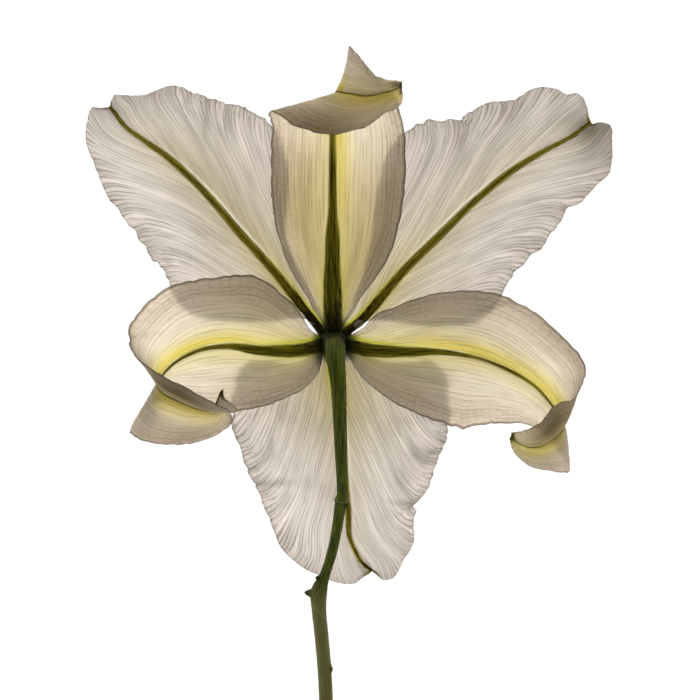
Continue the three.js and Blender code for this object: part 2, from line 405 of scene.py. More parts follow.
@dataclass(frozen=True)
class TepalTissue:
    """Fresh lily tepal: thin waxy cell tissue with veins, which glows when lit from behind.

    The eye sees the light that comes through it, so every tone is a colour of transmitted
    light, and the waxy skin adds only a faint satin gloss. A closed sheet is two walls, so
    each wall carries the square root of the tone that the eye ends up with.
    """

    name: str
    blade: str
    throat: str
    glow: str
    rim: str
    vein: str
    rib_light: str
    rib_dark: str
    grain_mm: float
    streak_mm: float
    vein_mm: float
    mesh_mm: float
    vein_depth: float
    streak_depth: float
    # How dark the painted shade line along the margin is.
    painted_edge_shade_depth: float
    net_depth: float = 0.0
    fringe_depth: float = 0.0
    # Claw green, darkened into painted shade at the flower's dark middle.
    claw: str = "#2A3010"
    lime: str = "#D0D440"
    # Colour of the painted highlight, a white band beside the midrib.
    painted_highlight: str = "#FFFEF8"
    # Colour of the painted shade line along the margin.
    edge: str = "#7A7062"
    # Filters of the painted shade: olive-tinted, partly the green of thick tissue, and grey.
    olive_filter: tuple[float, float, float, float] = (0.50, 0.42, 0.12, 1.0)
    dusk_filter: tuple[float, float, float, float] = (0.42, 0.39, 0.33, 1.0)
    core_filter: tuple[float, float, float, float] = (0.62, 0.60, 0.45, 1.0)
    fibre_mm: tuple[float, float] = (0.45, 16.0)
    net_mm: tuple[float, float] = (1.52, 2.85)
    relief_mm: float = 0.3
    through_share: float = 0.86
    shift: float = 0.0

    def build(self) -> bpy.types.Material:
        """Build the node tree: tissue tones by mask, then veins, streaks, shades and the midrib.

        Returns:
            The material.
        """
        material, add = blank_material(self.name)
        grain = add("ShaderNodeUVMap", uv_map="grain")
        plan = add("ShaderNodeUVMap", uv_map="plan")
        mask = {
            label: add("ShaderNodeAttribute", out="Fac", attribute_name=label)
            for label in (
                "throat", "glow", "rib", "core", "rim", "margin", "flank", "painted_highlight", "edge",
                "claw", "olive", "dusk",
            )
        }
        fine = self._streaks(add, grain, self.grain_mm, self.streak_mm, 3.0)
        broad = self._streaks(add, grain, self.grain_mm * 3, self.streak_mm * 3, 2.0)
        # Sets of lines that wander apart and together cross at slight angles, as veins branch.
        main_vein = self._lines(add, grain, self.vein_mm, 1.6)
        veins = (
            (main_vein, 1.0, self.vein_depth),
            (self._lines(add, grain, self.vein_mm * 0.5, 2.6), mask["rim"], self.vein_depth),
            (self._borders(add, plan, self.net_mm, 0.16), mask["rim"], self.net_depth),
            (self._lines(add, grain, self.vein_mm * 0.25, 1.0), mask["margin"], self.fringe_depth),
        )
        tone = self._tone(add, broad, fine)
        # Painted shade: how much the thin line along the margin is darkened.
        edge = add("ShaderNodeMath", {0: mask["edge"], 1: self.painted_edge_shade_depth}, operation="MULTIPLY")
        coats = [
            (mask["throat"], linear(self.throat), "MIX"),
            (mask["rim"], linear(self.rim), "MIX"),
            (mask["glow"], linear(self.glow), "MIX"),
        ]
        for pattern, where, strength in veins:
            depth = add("ShaderNodeMath", {0: pattern, 1: where}, operation="MULTIPLY")
            depth = add("ShaderNodeMath", {0: depth, 1: strength}, operation="MULTIPLY")
            coats.append((depth, linear(self.vein), "MIX"))
        coats += [
            (1.0, tone, "MULTIPLY"),
            # Painted shade: olive and grey patches, and the creases.
            (mask["olive"], self.olive_filter, "MULTIPLY"),
            (mask["dusk"], self.dusk_filter, "MULTIPLY"),
            # Painted highlight: a white band beside the midrib.
            (mask["painted_highlight"], linear(self.painted_highlight), "MIX"),
            (mask["flank"], linear(self.lime), "MIX"),
            (mask["rib"], self._cord(add, plan, mask["core"]), "MIX"),
            # Painted shade along the margin.
            (edge, linear(self.edge), "MIX"),
            # Claw green and painted shade of the flower's dark middle.
            (mask["claw"], linear(self.claw), "MIX"),
        ]
        colour: Any = linear(self.blade)
        for share, coat, way in coats:
            sockets = {0: share, 6: colour, 7: coat}
            colour = add("ShaderNodeMix", sockets, 2, data_type="RGBA", blend_type=way)

        height = add("ShaderNodeMath", {0: main_vein, 1: -0.8}, operation="MULTIPLY")
        for pattern in (fine, broad):
            height = add("ShaderNodeMath", {0: height, 1: pattern}, operation="ADD")
        relief = add(
            "ShaderNodeBump",
            {"Height": height, "Strength": 0.6, "Distance": self.relief_mm * MM},
        )
        skin = add(
            "ShaderNodeBsdfPrincipled",
            {
                "Base Color": colour,
                "Normal": relief,
                "Roughness": 0.5,
                "IOR": 1.4,
                "Specular IOR Level": 0.35,
                "Metallic": 0.0,
            },
        )
        through = add("ShaderNodeBsdfTranslucent", {"Color": colour, "Normal": relief})
        lit = add("ShaderNodeMixShader", {0: self.through_share, 1: skin, 2: through})
        add("ShaderNodeOutputMaterial", {"Surface": lit}, None)
        return material

    def _streaks(self, add: Adder, place: Any, wide: float, long: float, detail: float) -> Any:
        """Draw noise out along one way, so that one cell is so many millimetres wide and long.

        Args:
            add: Adds a node to the tree.
            place: Millimetres across the grain and along it.
            wide: Size of a cell across, in millimetres.
            long: Size of a cell along, in millimetres.
            detail: How many finer layers of noise are added.

        Returns:
            A value from 0 to 1.
        """
        drawn = add(
            "ShaderNodeMapping",
            {"Vector": place, "Location": (self.shift, 0, 0), "Scale": (1 / wide, 1 / long, 1.0)},
        )
        sockets = {
            "Vector": drawn, "Scale": 1.0, "Detail": detail, "Roughness": 0.55, "Distortion": 0.2,
        }
        return add("ShaderNodeTexNoise", sockets, "Fac")

    def _lines(self, add: Adder, grain: Any, spacing: float, wander: float) -> Any:
        """Draw unevenly spaced lines along the grain, which waver, fade and come back.

        A line is where the place across the grain, pushed about by long noise, comes near the
        border between two cells of a row of uneven cells.

        Args:
            add: Adds a node to the tree.
            grain: Millimetres across the grain and along it.
            spacing: Mean distance between lines, in millimetres.
            wander: How far a line strays, in spacings.

        Returns:
            One on a line, nought between lines.
        """
        waver = self._streaks(add, grain, spacing * 3.0, self.mesh_mm, 1.0)
        across = add("ShaderNodeSeparateXYZ", {"Vector": grain}, "X")
        place = add("ShaderNodeMath", {0: across, 1: 1 / spacing}, operation="MULTIPLY")
        stray = add("ShaderNodeMath", {0: waver, 1: wander}, operation="MULTIPLY")
        place = add("ShaderNodeMath", {0: place, 1: stray}, operation="ADD")
        gap = add(
            "ShaderNodeTexVoronoi",
            {"W": place, "Scale": 1.0, "Randomness": 0.9},
            "Distance",
            voronoi_dimensions="1D",
            feature="DISTANCE_TO_EDGE",
        )
        fade = self._streaks(add, grain, spacing * 1.5, self.mesh_mm * 0.4, 1.0)
        line = add(
            "ShaderNodeMapRange",
            {"Value": gap, "From Min": 0.0, "From Max": 0.2, "To Min": 1.0, "To Max": 0.0},
        )
        kept = add(
            "ShaderNodeMapRange",
            {"Value": fade, "From Min": 0.36, "From Max": 0.56, "To Min": 0.2, "To Max": 1.0},
        )
        return add("ShaderNodeMath", {0: line, 1: kept}, operation="MULTIPLY")

    def _borders(self, add: Adder, plan: Any, size_mm: tuple[float, float], width: float) -> Any:
        """Draw a net: one on the borders of uneven cells, falling to nothing inside them.

        Args:
            add: Adds a node to the tree.
            plan: Millimetres across the blade and along it.
            size_mm: A cell's width and length, in millimetres.
            width: Half the width of a border, in cells.

        Returns:
            One on a border, nought inside a cell.
        """
        scale = (1 / size_mm[0], 1 / size_mm[1], 1.0)
        drawn = add("ShaderNodeMapping", {"Vector": plan, "Scale": scale})
        cells = add(
            "ShaderNodeTexVoronoi",
            {"Vector": drawn, "Scale": 1.0, "Randomness": 0.8},
            "Distance",
            voronoi_dimensions="2D",
            feature="DISTANCE_TO_EDGE",
        )
        return add(
            "ShaderNodeMapRange",
            {"Value": cells, "From Min": 0.0, "From Max": width, "To Min": 1.0, "To Max": 0.0},
        )

    def _tone(self, add: Adder, broad: Any, fine: Any) -> Any:
        """Multiply the broad and the fine streaks, each held between its depth and one.

        Args:
            add: Adds a node to the tree.
            broad: The broad streaks.
            fine: The fine streaks.

        Returns:
            A tone up to one.
        """
        held = [
            add(
                "ShaderNodeMapRange",
                {
                    "Value": streaks,
                    "From Min": low,
                    "From Max": 1.0 - low,
                    "To Min": 1 - self.streak_depth,
                    "To Max": 1.0,
                },
            )
            for streaks, low in ((broad, 0.32), (fine, 0.3))
        ]
        return add("ShaderNodeMath", {0: held[0], 1: held[1]}, operation="MULTIPLY")

    def _cord(self, add: Adder, plan: Any, core: Any) -> Any:
        """Colour the midrib: long fibres of two greens, darker down the middle.

        Args:
            add: Adds a node to the tree.
            plan: Millimetres across the blade and along it.
            core: The mask of the midrib's middle.

        Returns:
            The colour.
        """
        fibre = self._streaks(add, plan, *self.fibre_mm, 2.0)
        share = add(
            "ShaderNodeMapRange",
            {"Value": fibre, "From Min": 0.4, "From Max": 0.6, "To Min": 0.0, "To Max": 1.0},
        )
        sockets = {0: share, 6: linear(self.rib_dark), 7: linear(self.rib_light)}
        cord = add("ShaderNodeMix", sockets, 2, data_type="RGBA")
        sockets = {0: core, 6: cord, 7: self.core_filter}
        return add("ShaderNodeMix", sockets, 2, data_type="RGBA", blend_type="MULTIPLY")


@dataclass(frozen=True)
class GreenSkin:
    """Waxy green skin of a stalk: fine lengthwise striping under a satin cuticle."""

    name: str
    light: str
    dark: str
    mark_and_shade: str
    worn: str = "#8A8254"
    roughness: float = 0.55
    stripe_mm: float = 0.7
    streak_mm: float = 9.0
    patch_mm: float = 20 / 3
    relief_mm: float = 0.15

    def build(self) -> bpy.types.Material:
        """Build the node tree: two greens striped along the stalk, paler where it is worn.

        Returns:
            The material.
        """
        material, add = blank_material(self.name)
        grain = add("ShaderNodeUVMap", uv_map="grain")
        mark_and_shade = add("ShaderNodeAttribute", out="Fac", attribute_name="mark_and_shade")
        worn = add("ShaderNodeAttribute", out="Fac", attribute_name="worn")
        scale = (1 / self.stripe_mm, 1 / self.streak_mm, 1.0)
        drawn = add("ShaderNodeMapping", {"Vector": grain, "Scale": scale})
        sockets = {
            "Vector": drawn, "Scale": 1.0, "Detail": 3.0, "Roughness": 0.6, "Distortion": 0.2,
        }
        stripe = add("ShaderNodeTexNoise", sockets, "Fac")
        place = add("ShaderNodeTexCoord", out="Object")
        sockets = {"Vector": place, "Scale": 1000 / self.patch_mm, "Detail": 4.0}
        patch = add("ShaderNodeTexNoise", sockets, "Fac")
        colour = add(
            "ShaderNodeValToRGB",
            {"Fac": stripe},
            stops=((0.36, linear(self.dark)), (0.62, linear(self.light))),
        )
        patched = add(
            "ShaderNodeValToRGB", {"Fac": patch}, stops=((0.35, grey(0.62)), (0.65, grey(1.0)))
        )
        for share, coat, way in (
            (1.0, patched, "MULTIPLY"),
            (worn, linear(self.worn), "MIX"),
            # Dark marks: scars, the cut end and the stigma tip, and painted shade on the stalk's
            # top.
            (mark_and_shade, linear(self.mark_and_shade), "MIX"),
        ):
            sockets = {0: share, 6: colour, 7: coat}
            colour = add("ShaderNodeMix", sockets, 2, data_type="RGBA", blend_type=way)
        relief = add(
            "ShaderNodeBump",
            {"Height": stripe, "Strength": 0.4, "Distance": self.relief_mm * MM},
        )
        skin = add(
            "ShaderNodeBsdfPrincipled",
            {
                "Base Color": colour,
                "Normal": relief,
                "Roughness": self.roughness,
                "IOR": 1.42,
                "Specular IOR Level": 0.08,
                "Metallic": 0.0,
            },
        )
        add("ShaderNodeOutputMaterial", {"Surface": skin}, None)
        return material


@dataclass(frozen=True)
class PollenCoat:
    """Ripe lily pollen on an anther: a dry, grainy rust-brown powder with no gloss."""

    name: str = "lily_pollen"
    pale: str = "#B8692A"
    deep: str = "#6E3312"
    grain_mm: float = 0.35
    relief_mm: float = 0.2

    def build(self) -> bpy.types.Material:
        """Build the node tree: clumped grains in two browns, rough and bumpy.

        Returns:
            The material.
        """
        material, add = blank_material(self.name)
        place = add("ShaderNodeTexCoord", out="Object")
        sockets = {"Vector": place, "Scale": 1000 / (self.grain_mm * 4), "Detail": 4.0}
        clump = add("ShaderNodeTexNoise", sockets, "Fac")
        sockets = {"Vector": place, "Scale": 1000 / self.grain_mm}
        grains = add("ShaderNodeTexVoronoi", sockets, "Distance")
        colour = add(
            "ShaderNodeValToRGB",
            {"Fac": clump},
            stops=((0.35, linear(self.deep)), (0.65, linear(self.pale))),
        )
        relief = add(
            "ShaderNodeBump",
            {"Height": grains, "Strength": 0.8, "Distance": self.relief_mm * MM},
        )
        powder = add(
            "ShaderNodeBsdfPrincipled",
            {
                "Base Color": colour,
                "Normal": relief,
                "Roughness": 0.95,
                "Specular IOR Level": 0.1,
                "Metallic": 0.0,
            },
        )
        add("ShaderNodeOutputMaterial", {"Surface": powder}, None)
        return material


# ---------------------------------------------------------------- the flower's pieces


@dataclass(frozen=True)
class Nick:
    """A dip in a tepal's margin, or a bump where the depth is negative.

    The place and the width are shares of the tepal's length, the depth is in millimetres. The
    last number sets how deep the crease is that runs inward from the dip along the veins,
    and how much painted shade lies in it.
    """

    side: Side
    place: float
    width: float
    depth: float
    fold_and_shade: float = 0.0


class Tone(Enum):
    """Darker patches: olive painted shade, partly thick green tissue, and grey painted shade."""

    OLIVE = "olive"
    DUSK = "dusk"


@dataclass(frozen=True)
class Patch:
    """A soft painted shade, placed and sized in shares of the length and of the half width."""

    tone: Tone
    place: float
    across: float
    long: float
    wide: float
    depth: float


@dataclass
class Tepal:
    """One petal of the lily, hung on its midrib and its two margins.

    Rails are in millimetres, from the claw to the tip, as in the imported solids.
    """

    name: str
    node: str
    slot: str
    venation: Venation
    midrib: Points
    left: Points
    right: Points
    rib_width: Stops
    glow: Stops
    ruffle: float
    waves: float
    phase: float
    seed: int
    nicks: Sequence[Nick] = ()
    patches: Sequence[Patch] = ()
    thickness: float = 0.7
    crease: float = 0.25
    belly: float = 1.5
    glow_width: float = 3.0
    glow_side: Side | None = None
    glow_turn: float = 1.1
    flank_side: Side | None = None
    flank_depth: float = 1.0
    fringe: float = 0.012
    crimp_mm: float = 0.28
    furrow_mm: float = 0.13
    billow_mm: float = 0.45
    crease_mm: float = 3.0
    crease_lean: float = 0.16
    lowest_mm: float = 0.45
    rows: int = 230
    columns: int = 111
    offset: np.ndarray = field(default_factory=lambda: np.zeros(3))

    def rails(self, at: np.ndarray) -> tuple[Grid, Grid, Grid]:
        """Follow the left margin, the midrib and the right margin.

        Args:
            at: Places from the claw to the tip.

        Returns:
            The three rails' points in metres, one row for each place.
        """
        left, middle, right = (
            spline(np.array(rail, dtype=float) * MM, at)[:, None]
            for rail in (self.left, self.midrib, self.right)
        )
        return left, middle, right

    def plain(self, s: np.ndarray, t: np.ndarray) -> Grid:
        """Work out the plain blade: an arch through the three rails, creased at the midrib.

        Across the blade the point is the midrib, plus t times half the span between the
        margins, plus t squared times their mean rise, mixed with two straight halves.

        Args:
            s: Places from the claw, 0, to the tip, 1.
            t: Grid of places from the left margin, -1, to the right margin, 1.

        Returns:
            A grid of points in metres.
        """
        left, middle, right = self.rails(s)
        t = t[..., None]
        arch = middle + t * (right - left) / 2 + t**2 * ((right + left) / 2 - middle)
        ridge = middle + np.abs(t) * (np.where(t < 0, left, right) - middle)
        blade = (1 - self.crease) * arch + self.crease * ridge
        out = np.abs(t)
        along = np.sin(np.pi * np.clip(s, 0, 1))[:, None, None] ** 0.7
        return blade + grid_normals(blade) * self.belly * MM * 4 * out * (1 - out) * along

    def build(self, material: bpy.types.Material) -> bpy.types.Object:
        """Shape the blade, thicken it to a closed sheet and dress it.

        The blade is moved along its normal by the margin's waves, by its crimps and by the
        relief of its veins. The back carries the midrib as a raised cord.

        Args:
            material: The tissue.

        Returns:
            The new object.
        """
        s = np.linspace(0, 1, self.rows)
        even = np.broadcast_to(np.linspace(-1, 1, self.columns), (self.rows, self.columns))
        t = even * (1 - self._nick_depth(s, even))
        blade = self.plain(s, t) + self.offset
        middle = self.columns // 2
        walked = run_length(blade, 1)
        across = (walked - walked[:, middle : middle + 1]) / MM
        along = run_length(blade[:, middle : middle + 1], 0) / MM * np.ones_like(across)
        out = np.abs(even)
        grain = self._grain(even, across, along)
        place = s[:, None] * np.ones_like(across)
        ends = np.clip(np.minimum(place, 1 - place) * 12, 0, 1)

        side_phase = np.where(even < 0, 0.0, 1.3)
        waves = np.sin(2 * np.pi * self.waves * place + self.phase + side_phase)
        waves += 0.6 * smooth_noise(along / 7, even * 2 + 5, self.seed)
        lift = self.ruffle * out**2.5 * waves
        lift += self.crimp_mm * out**5 * smooth_noise(along / 1.1, across / 9, self.seed + 1)
        lift += self.furrow_mm * smooth_noise(grain[..., 0], grain[..., 1] / 7, self.seed + 2)
        billow = smooth_noise(along / 9, across / 8, self.seed + 3) * np.minimum(1, out * 3)
        lift += self.billow_mm * billow
        for nick in self.nicks:
            lean = (place - nick.place + self.crease_lean * (1 - out)) / (nick.width * 1.2)
            crease = lean * np.exp(-(lean**2)) * np.clip((out - 0.3) / 0.6, 0, 1)
            lift += self.crease_mm * nick.fold_and_shade * crease * (even * nick.side.value > 0)
        blade = blade + grid_normals(blade) * (lift * ends)[..., None] * MM
        blade[..., 2] = np.maximum(blade[..., 2], self.lowest_mm * MM)

        width = profile(self.rib_width, s)[:, None]
        reach = np.abs(across) / width
        rib = np.clip(1 - reach**2, 0, 1) ** 0.5
        rim_round = np.sqrt(np.clip(1 - out**16, 0, 1))
        half = self.thickness / 2 * (1 - 0.35 * out**2) * (0.12 + 0.88 * rim_round)
        half = half * np.clip((1 - place) * 25 + 0.35, 0, 1)
        rise = rib * width * 0.5 * np.clip((1 - place) * 12 + 0.1, 0, 1)
        normal = grid_normals(blade)
        inside = blade + normal * half[..., None] * MM
        back = blade - normal * (half + rise)[..., None] * MM
        points = np.concatenate([inside.reshape(-1, 3), back.reshape(-1, 3)])
        masks = self._masks(s, even, across, reach)
        fields = {label: np.tile(values.ravel(), 2) for label, values in masks.items()}
        plan = np.stack([across, along], axis=-1)
        maps = {
            "grain": np.tile(grain.reshape(-1, 2), (2, 1)),
            "plan": np.tile(plan.reshape(-1, 2), (2, 1)),
        }
        none = np.zeros((0, 3), dtype=int)
        quads = sheet_faces(self.rows, self.columns)
        piece = make_piece(self.name, points, quads, none, maps, fields, material)
        place_piece(piece, self.node)
        return piece

    def _nick_depth(self, s: np.ndarray, t: np.ndarray) -> np.ndarray:
        """Add up bell-shaped dips of each margin, as shares of the half width, and its fringe.

        Args:
            s: Places from the claw to the tip.
            t: Grid of places from margin to margin.

        Returns:
            How far each point is drawn in toward the midrib, as a share.
        """
        left, middle, right = (rail[:, 0] for rail in self.rails(s))
        reach = {
            Side.LEFT: np.linalg.norm(left - middle, axis=1) / MM,
            Side.RIGHT: np.linalg.norm(right - middle, axis=1) / MM,
        }
        depth = self.fringe * smooth_noise(s[:, None] * 90 + 3, np.sign(t) * 4 + 8, self.seed + 5)
        depth = depth * np.abs(t) ** 6
        for nick in self.nicks:
            bell = nick.depth * np.exp(-(((s - nick.place) / nick.width) ** 2))
            share = bell / np.maximum(reach[nick.side], 4.0)
            depth = depth + share[:, None] * (t * nick.side.value > 0) * np.abs(t) ** 3
        return depth

    def _grain(self, t: np.ndarray, across: np.ndarray, along: np.ndarray) -> np.ndarray:
        """Give each point a place across the veins and a place along them, in millimetres.

        Parallel veins keep to one share of the half width. Fanned veins leave the midrib at a
        small angle and turn outward toward the margin: they keep to one value of the length
        along the blade less the distance from the midrib times a number that falls from four.

        Args:
            t: Grid of places from margin to margin.
            across: Millimetres from the midrib.
            along: Millimetres from the claw.

        Returns:
            Two numbers for each point.
        """
        if self.venation is Venation.PARALLEL:
            return np.stack([t * 26 + 40, along], axis=-1)
        reach = np.abs(across)
        fan = along - reach * (4.0 - 1.05 * t**2)
        return np.stack([fan + np.sign(t) * 300, reach], axis=-1)

    def _masks(
        self, s: np.ndarray, t: np.ndarray, across: np.ndarray, reach: np.ndarray
    ) -> dict[str, np.ndarray]:
        """Mark where each tone of the tissue lies, from nought to one.

        Bands are bells or eased ramps of the distance from the midrib or from the margin.

        Args:
            s: Places from the claw to the tip.
            t: Grid of places from margin to margin.
            across: Millimetres from the midrib.
            reach: Distance from the midrib in half widths of the midrib.

        Returns:
            One grid for each mask.
        """
        place, out = s[:, None] * np.ones_like(t), np.abs(t)
        throat = np.clip(1 - place / 0.42, 0, 1) ** 1.2
        near_rib = np.exp(-((np.abs(across) / 7) ** 2))
        band = np.exp(-(((np.abs(across) - 0.8) / self.glow_width) ** 2))
        if self.glow_side is not None:
            lit = np.where(place < self.glow_turn, 1.0, -1.0) * self.glow_side.value
            band = np.where(across * lit > 0, band, band * 0.25)
        lines = 0.7 + 0.3 * smooth_noise(across * 1.6 + 20, place * 6, self.seed + 9)
        flank = self.flank_depth * np.exp(-(((reach - 1.35) / 0.3) ** 2))
        if self.flank_side is not None:
            flank = np.where(across * self.flank_side.value > 0, flank, flank * 0.3)
        # Painted highlight: a white band beside the midrib over the middle of the blade.
        painted_highlight = flank * np.clip((place - 0.15) / 0.2, 0, 1) * np.clip((0.7 - place) / 0.25, 0, 1)
        # Patches of painted shade: olive-tinted, partly the green of thick tissue, and grey.
        clear = {tone: np.ones_like(place) for tone in Tone}
        for patch in self.patches:
            far = ((place - patch.place) / patch.long) ** 2 + ((t - patch.across) / patch.wide) ** 2
            clear[patch.tone] = clear[patch.tone] * (1 - patch.depth * np.exp(-far))
        # A crease leans toward the claw as it runs inward, as the veins beside it do.
        # Painted shade lies along it.
        for nick in self.nicks:
            lean = np.abs(place - nick.place + self.crease_lean * (1 - out)) / (nick.width * 0.8)
            crease = np.exp(-(lean**2)) * np.clip((out - 0.35) / 0.5, 0, 1)
            crease = crease * (t * nick.side.value > 0)
            clear[Tone.DUSK] = clear[Tone.DUSK] * (1 - nick.fold_and_shade * crease)
        return {
            "throat": np.clip(throat + 0.5 * near_rib * (1 - place), 0, 1),
            "glow": np.clip(profile(self.glow, s)[:, None] * band * lines, 0, 1),
            "rib": np.clip(np.maximum((1.12 - reach) / 0.3, (place - 0.965) / 0.02), 0, 1),
            "core": np.clip(1 - (reach / 0.6) ** 2, 0, 1),
            "flank": flank * np.clip(1 - place / 0.3, 0, 1),
            "painted_highlight": painted_highlight,
            "rim": np.clip((out - 0.35) / 0.6, 0, 1) ** 1.3,
            "margin": np.clip((out - 0.78) / 0.15, 0, 1),
            # Painted shade: a thin dark line along the margin.
            "edge": np.clip((out - 0.975) / 0.02, 0, 1),
            # Claw green and painted shade of the flower's dark middle.
            "claw": np.clip((0.05 - place) / 0.05, 0, 1),
            "olive": 1 - clear[Tone.OLIVE],
            "dusk": 1 - clear[Tone.DUSK],
        }


@dataclass
class Stem:
    """The cut stalk with its receptacle, its joint and the scars of two small bracts."""

    offset: np.ndarray
    path: Points = (
        (0, 0.5, 46), (0, 0.5, 58), (0.5, -0.5, 66), (0.5, -4, 71.5), (1.5, -12, 73),
        (2, -22.5, 69), (2.5, -37, 61), (3, -51.5, 52), (2.5, -55.5, 49), (1, -66, 42),
        (-1, -75.5, 35), (-3.5, -83.5, 29.5), (-5.5, -89.5, 25.5), (-5.5, -97, 20.5),
        (-4.5, -108, 14), (-3.5, -121.5, 7.5), (-3, -135, 3.3), (-3, -150, 2.5),
    )
    radii: Sequence[float] = (
        3.4, 3.5, 3.5, 3.3, 2.8, 2.5, 2.2, 1.95, 2.1, 1.85, 1.8, 1.9, 3.0, 2.6, 2.5, 2.5, 2.5, 2.5,
    )

    def build(self, material: bpy.types.Material) -> bpy.types.Object:
        """Ring the path, then ridge it and raise its joint and its scars.

        The radius gains two cosines of the angle for the ridges, and a bell of the angle and
        of the length for each raised mark.

        Args:
            material: The skin.

        Returns:
            The new object.
        """
        path = np.array(self.path, dtype=float) * MM + self.offset
        tube = Tube(path, np.array(self.radii) * MM, rows=520, sides=72)
        place, angle = tube.place[:, None], tube.angle[None, :]
        ends = np.clip(np.minimum(place, 1 - place) * 60, 0, 1)
        ridges = 0.06 * np.cos(5 * angle + 3 * place) + 0.035 * np.cos(13 * angle - 5 * place)
        grit = 0.05 * smooth_noise(angle * 9, place * 160, 3)
        mark_and_shade = np.zeros((tube.rows, tube.sides))
        bumps = np.zeros_like(mark_and_shade)
        for at, around, high, wide, tall in (
            (0.468, 3.14, 0.3, 2.8, 0.004),
            (0.475, 0.5, 1.0, 0.35, 0.007),
            (0.655, 2.9, 1.2, 0.5, 0.006),
            (0.712, 3.2, 2.2, 0.45, 0.006),
            (0.87, 0.3, 0.7, 0.4, 0.006),
        ):
            turn = np.abs((angle - around + np.pi) % (2 * np.pi) - np.pi)
            bell = np.exp(-((turn / wide) ** 2) - ((place - at) / tall) ** 2)
            bumps = bumps + high * bell
            mark_and_shade = np.maximum(mark_and_shade, bell)
        # The receptacle swells where the six claws grow on to it.
        collar = 1.5 * np.exp(-(((tube.points[..., 2] - self.offset[2]) / MM - 52.5) / 3.2) ** 2)
        collar = collar * (place < 0.2)
        tube.swell((ridges * ends + grit * ends + bumps + collar) * MM)
        joint = np.exp(-(((place - 0.462) / 0.004) ** 2)) * np.ones_like(mark_and_shade)
        worn = np.clip((place - 0.64) / 0.12, 0, 1) * 0.4
        worn = worn + 0.1 * np.exp(-(((place - 0.13) / 0.06) ** 2))
        worn = np.maximum(worn * np.ones_like(mark_and_shade), joint * 0.6)
        # Painted shade: the top of the stalk, under the flower's dark middle, goes near black.
        deep = np.clip((0.13 - place) / 0.02, 0, 1) * np.ones_like(mark_and_shade)
        cut = np.clip((place - 0.997) / 0.002, 0, 1)
        mark_and_shade = np.maximum(np.maximum(mark_and_shade * 0.85, deep * 0.9), cut)
        piece = tube.piece("lily_stem", material, {"mark_and_shade": mark_and_shade, "worn": worn})
        place_piece(piece, "stem")
        return piece


@dataclass
class Stamen:
    """One stamen: a tapering stalk with a pollen-coated anther across its end."""

    side: str
    heading: float
    offset: np.ndarray
    profile: Stops = (
        (2.6, 45.4), (4.5, 42), (9, 35), (18, 26), (30, 17), (41, 10.5), (50, 8),
    )
    radii: Sequence[float] = (0.8, 0.9, 0.9, 0.8, 0.7, 0.6, 0.35)
    anther_centre: tuple[float, float] = (52.6, 7.8)
    anther_length: float = 20.0
    anther_radius: float = 1.8
    anther_turn: float = 70.0

    def build(self, stalk: bpy.types.Material, pollen: bpy.types.Material) -> None:
        """Make the filament and the anther.

        Args:
            stalk: The filament's skin.
            pollen: The anther's coat.
        """
        path = on_heading(self.profile, self.heading) * MM + self.offset
        filament = Tube(path, np.array(self.radii) * MM, rows=90, sides=20)
        plain = np.zeros((filament.rows, filament.sides))
        piece = filament.piece(f"lily_filament_{self.side}", stalk, {"mark_and_shade": plain})
        piece.visible_shadow = False
        place_piece(piece, f"filament_{self.side}")

        centre = on_heading([self.anther_centre], self.heading)[0] * MM + self.offset
        turn = np.radians(self.heading + self.anther_turn)
        direction = np.array([np.cos(turn), np.sin(turn), 0.0])
        shares = np.array([-0.5, -0.46, -0.3, 0, 0.3, 0.46, 0.5])
        path = centre + shares[:, None] * self.anther_length * MM * direction
        radii = np.array([0.35, 0.6, 0.95, 1, 0.95, 0.6, 0.35]) * self.anther_radius * 0.93 * MM
        anther = Tube(path, radii, rows=110, sides=40)
        place, angle = anther.place[:, None], anther.angle[None, :]
        # Two pollen sacs with a furrow between them above and below.
        lobes = -0.45 * np.abs(np.cos(angle)) ** 6 * np.sin(np.pi * place) ** 0.5
        grains = 0.09 * smooth_noise(angle * 6, place * 60, 11) * np.ones_like(place)
        anther.swell((lobes + grains) * MM)
        plain = np.zeros((anther.rows, anther.sides))
        piece = anther.piece(f"lily_anther_{self.side}", pollen, {"mark_and_shade": plain})
        piece.visible_shadow = False
        place_piece(piece, f"anther_{self.side}")


@dataclass
class Pistil:
    """Ovary, style and three-lobed stigma, grown as one piece."""

    offset: np.ndarray
    heading: float = 315.0
    profile: Stops = (
        (0, 45.7), (0, 42), (0, 36), (0, 30), (0.3, 26.5), (2, 21.5), (7, 15.5), (15, 11),
        (24, 9), (33, 8.2), (37, 8), (40, 8),
    )
    radii: Sequence[float] = (1.2, 1.7, 2.3, 2.2, 1.4, 1.1, 1.0, 1.0, 1.0, 1.1, 2.3, 3.0)

    def build(self, material: bpy.types.Material) -> bpy.types.Object:
        """Ring the profile, furrow the ovary and lobe the stigma.

        Args:
            material: The skin.

        Returns:
            The new object.
        """
        path = on_heading(self.profile, self.heading) * MM + self.offset
        tube = Tube(path, np.array(self.radii) * MM, rows=260, sides=60)
        place, angle = tube.place[:, None], tube.angle[None, :]
        ovary = np.clip(1 - np.abs(place - 0.18) / 0.16, 0, 1) ** 0.5
        stigma = np.clip((place - 0.86) / 0.1, 0, 1)
        swell = 0.28 * ovary * np.abs(np.sin(3 * angle)) ** 0.5 - 0.3 * ovary
        swell = swell + 0.35 * stigma * (np.cos(3 * angle) - 0.6)
        tube.swell(swell * MM)
        tip = np.clip((place - 0.93) / 0.05, 0, 1) * np.ones((tube.rows, tube.sides))
        piece = tube.piece("lily_pistil", material, {"mark_and_shade": tip * 0.6})
        piece.visible_shadow = False
        place_piece(piece, "pistil")
        return piece


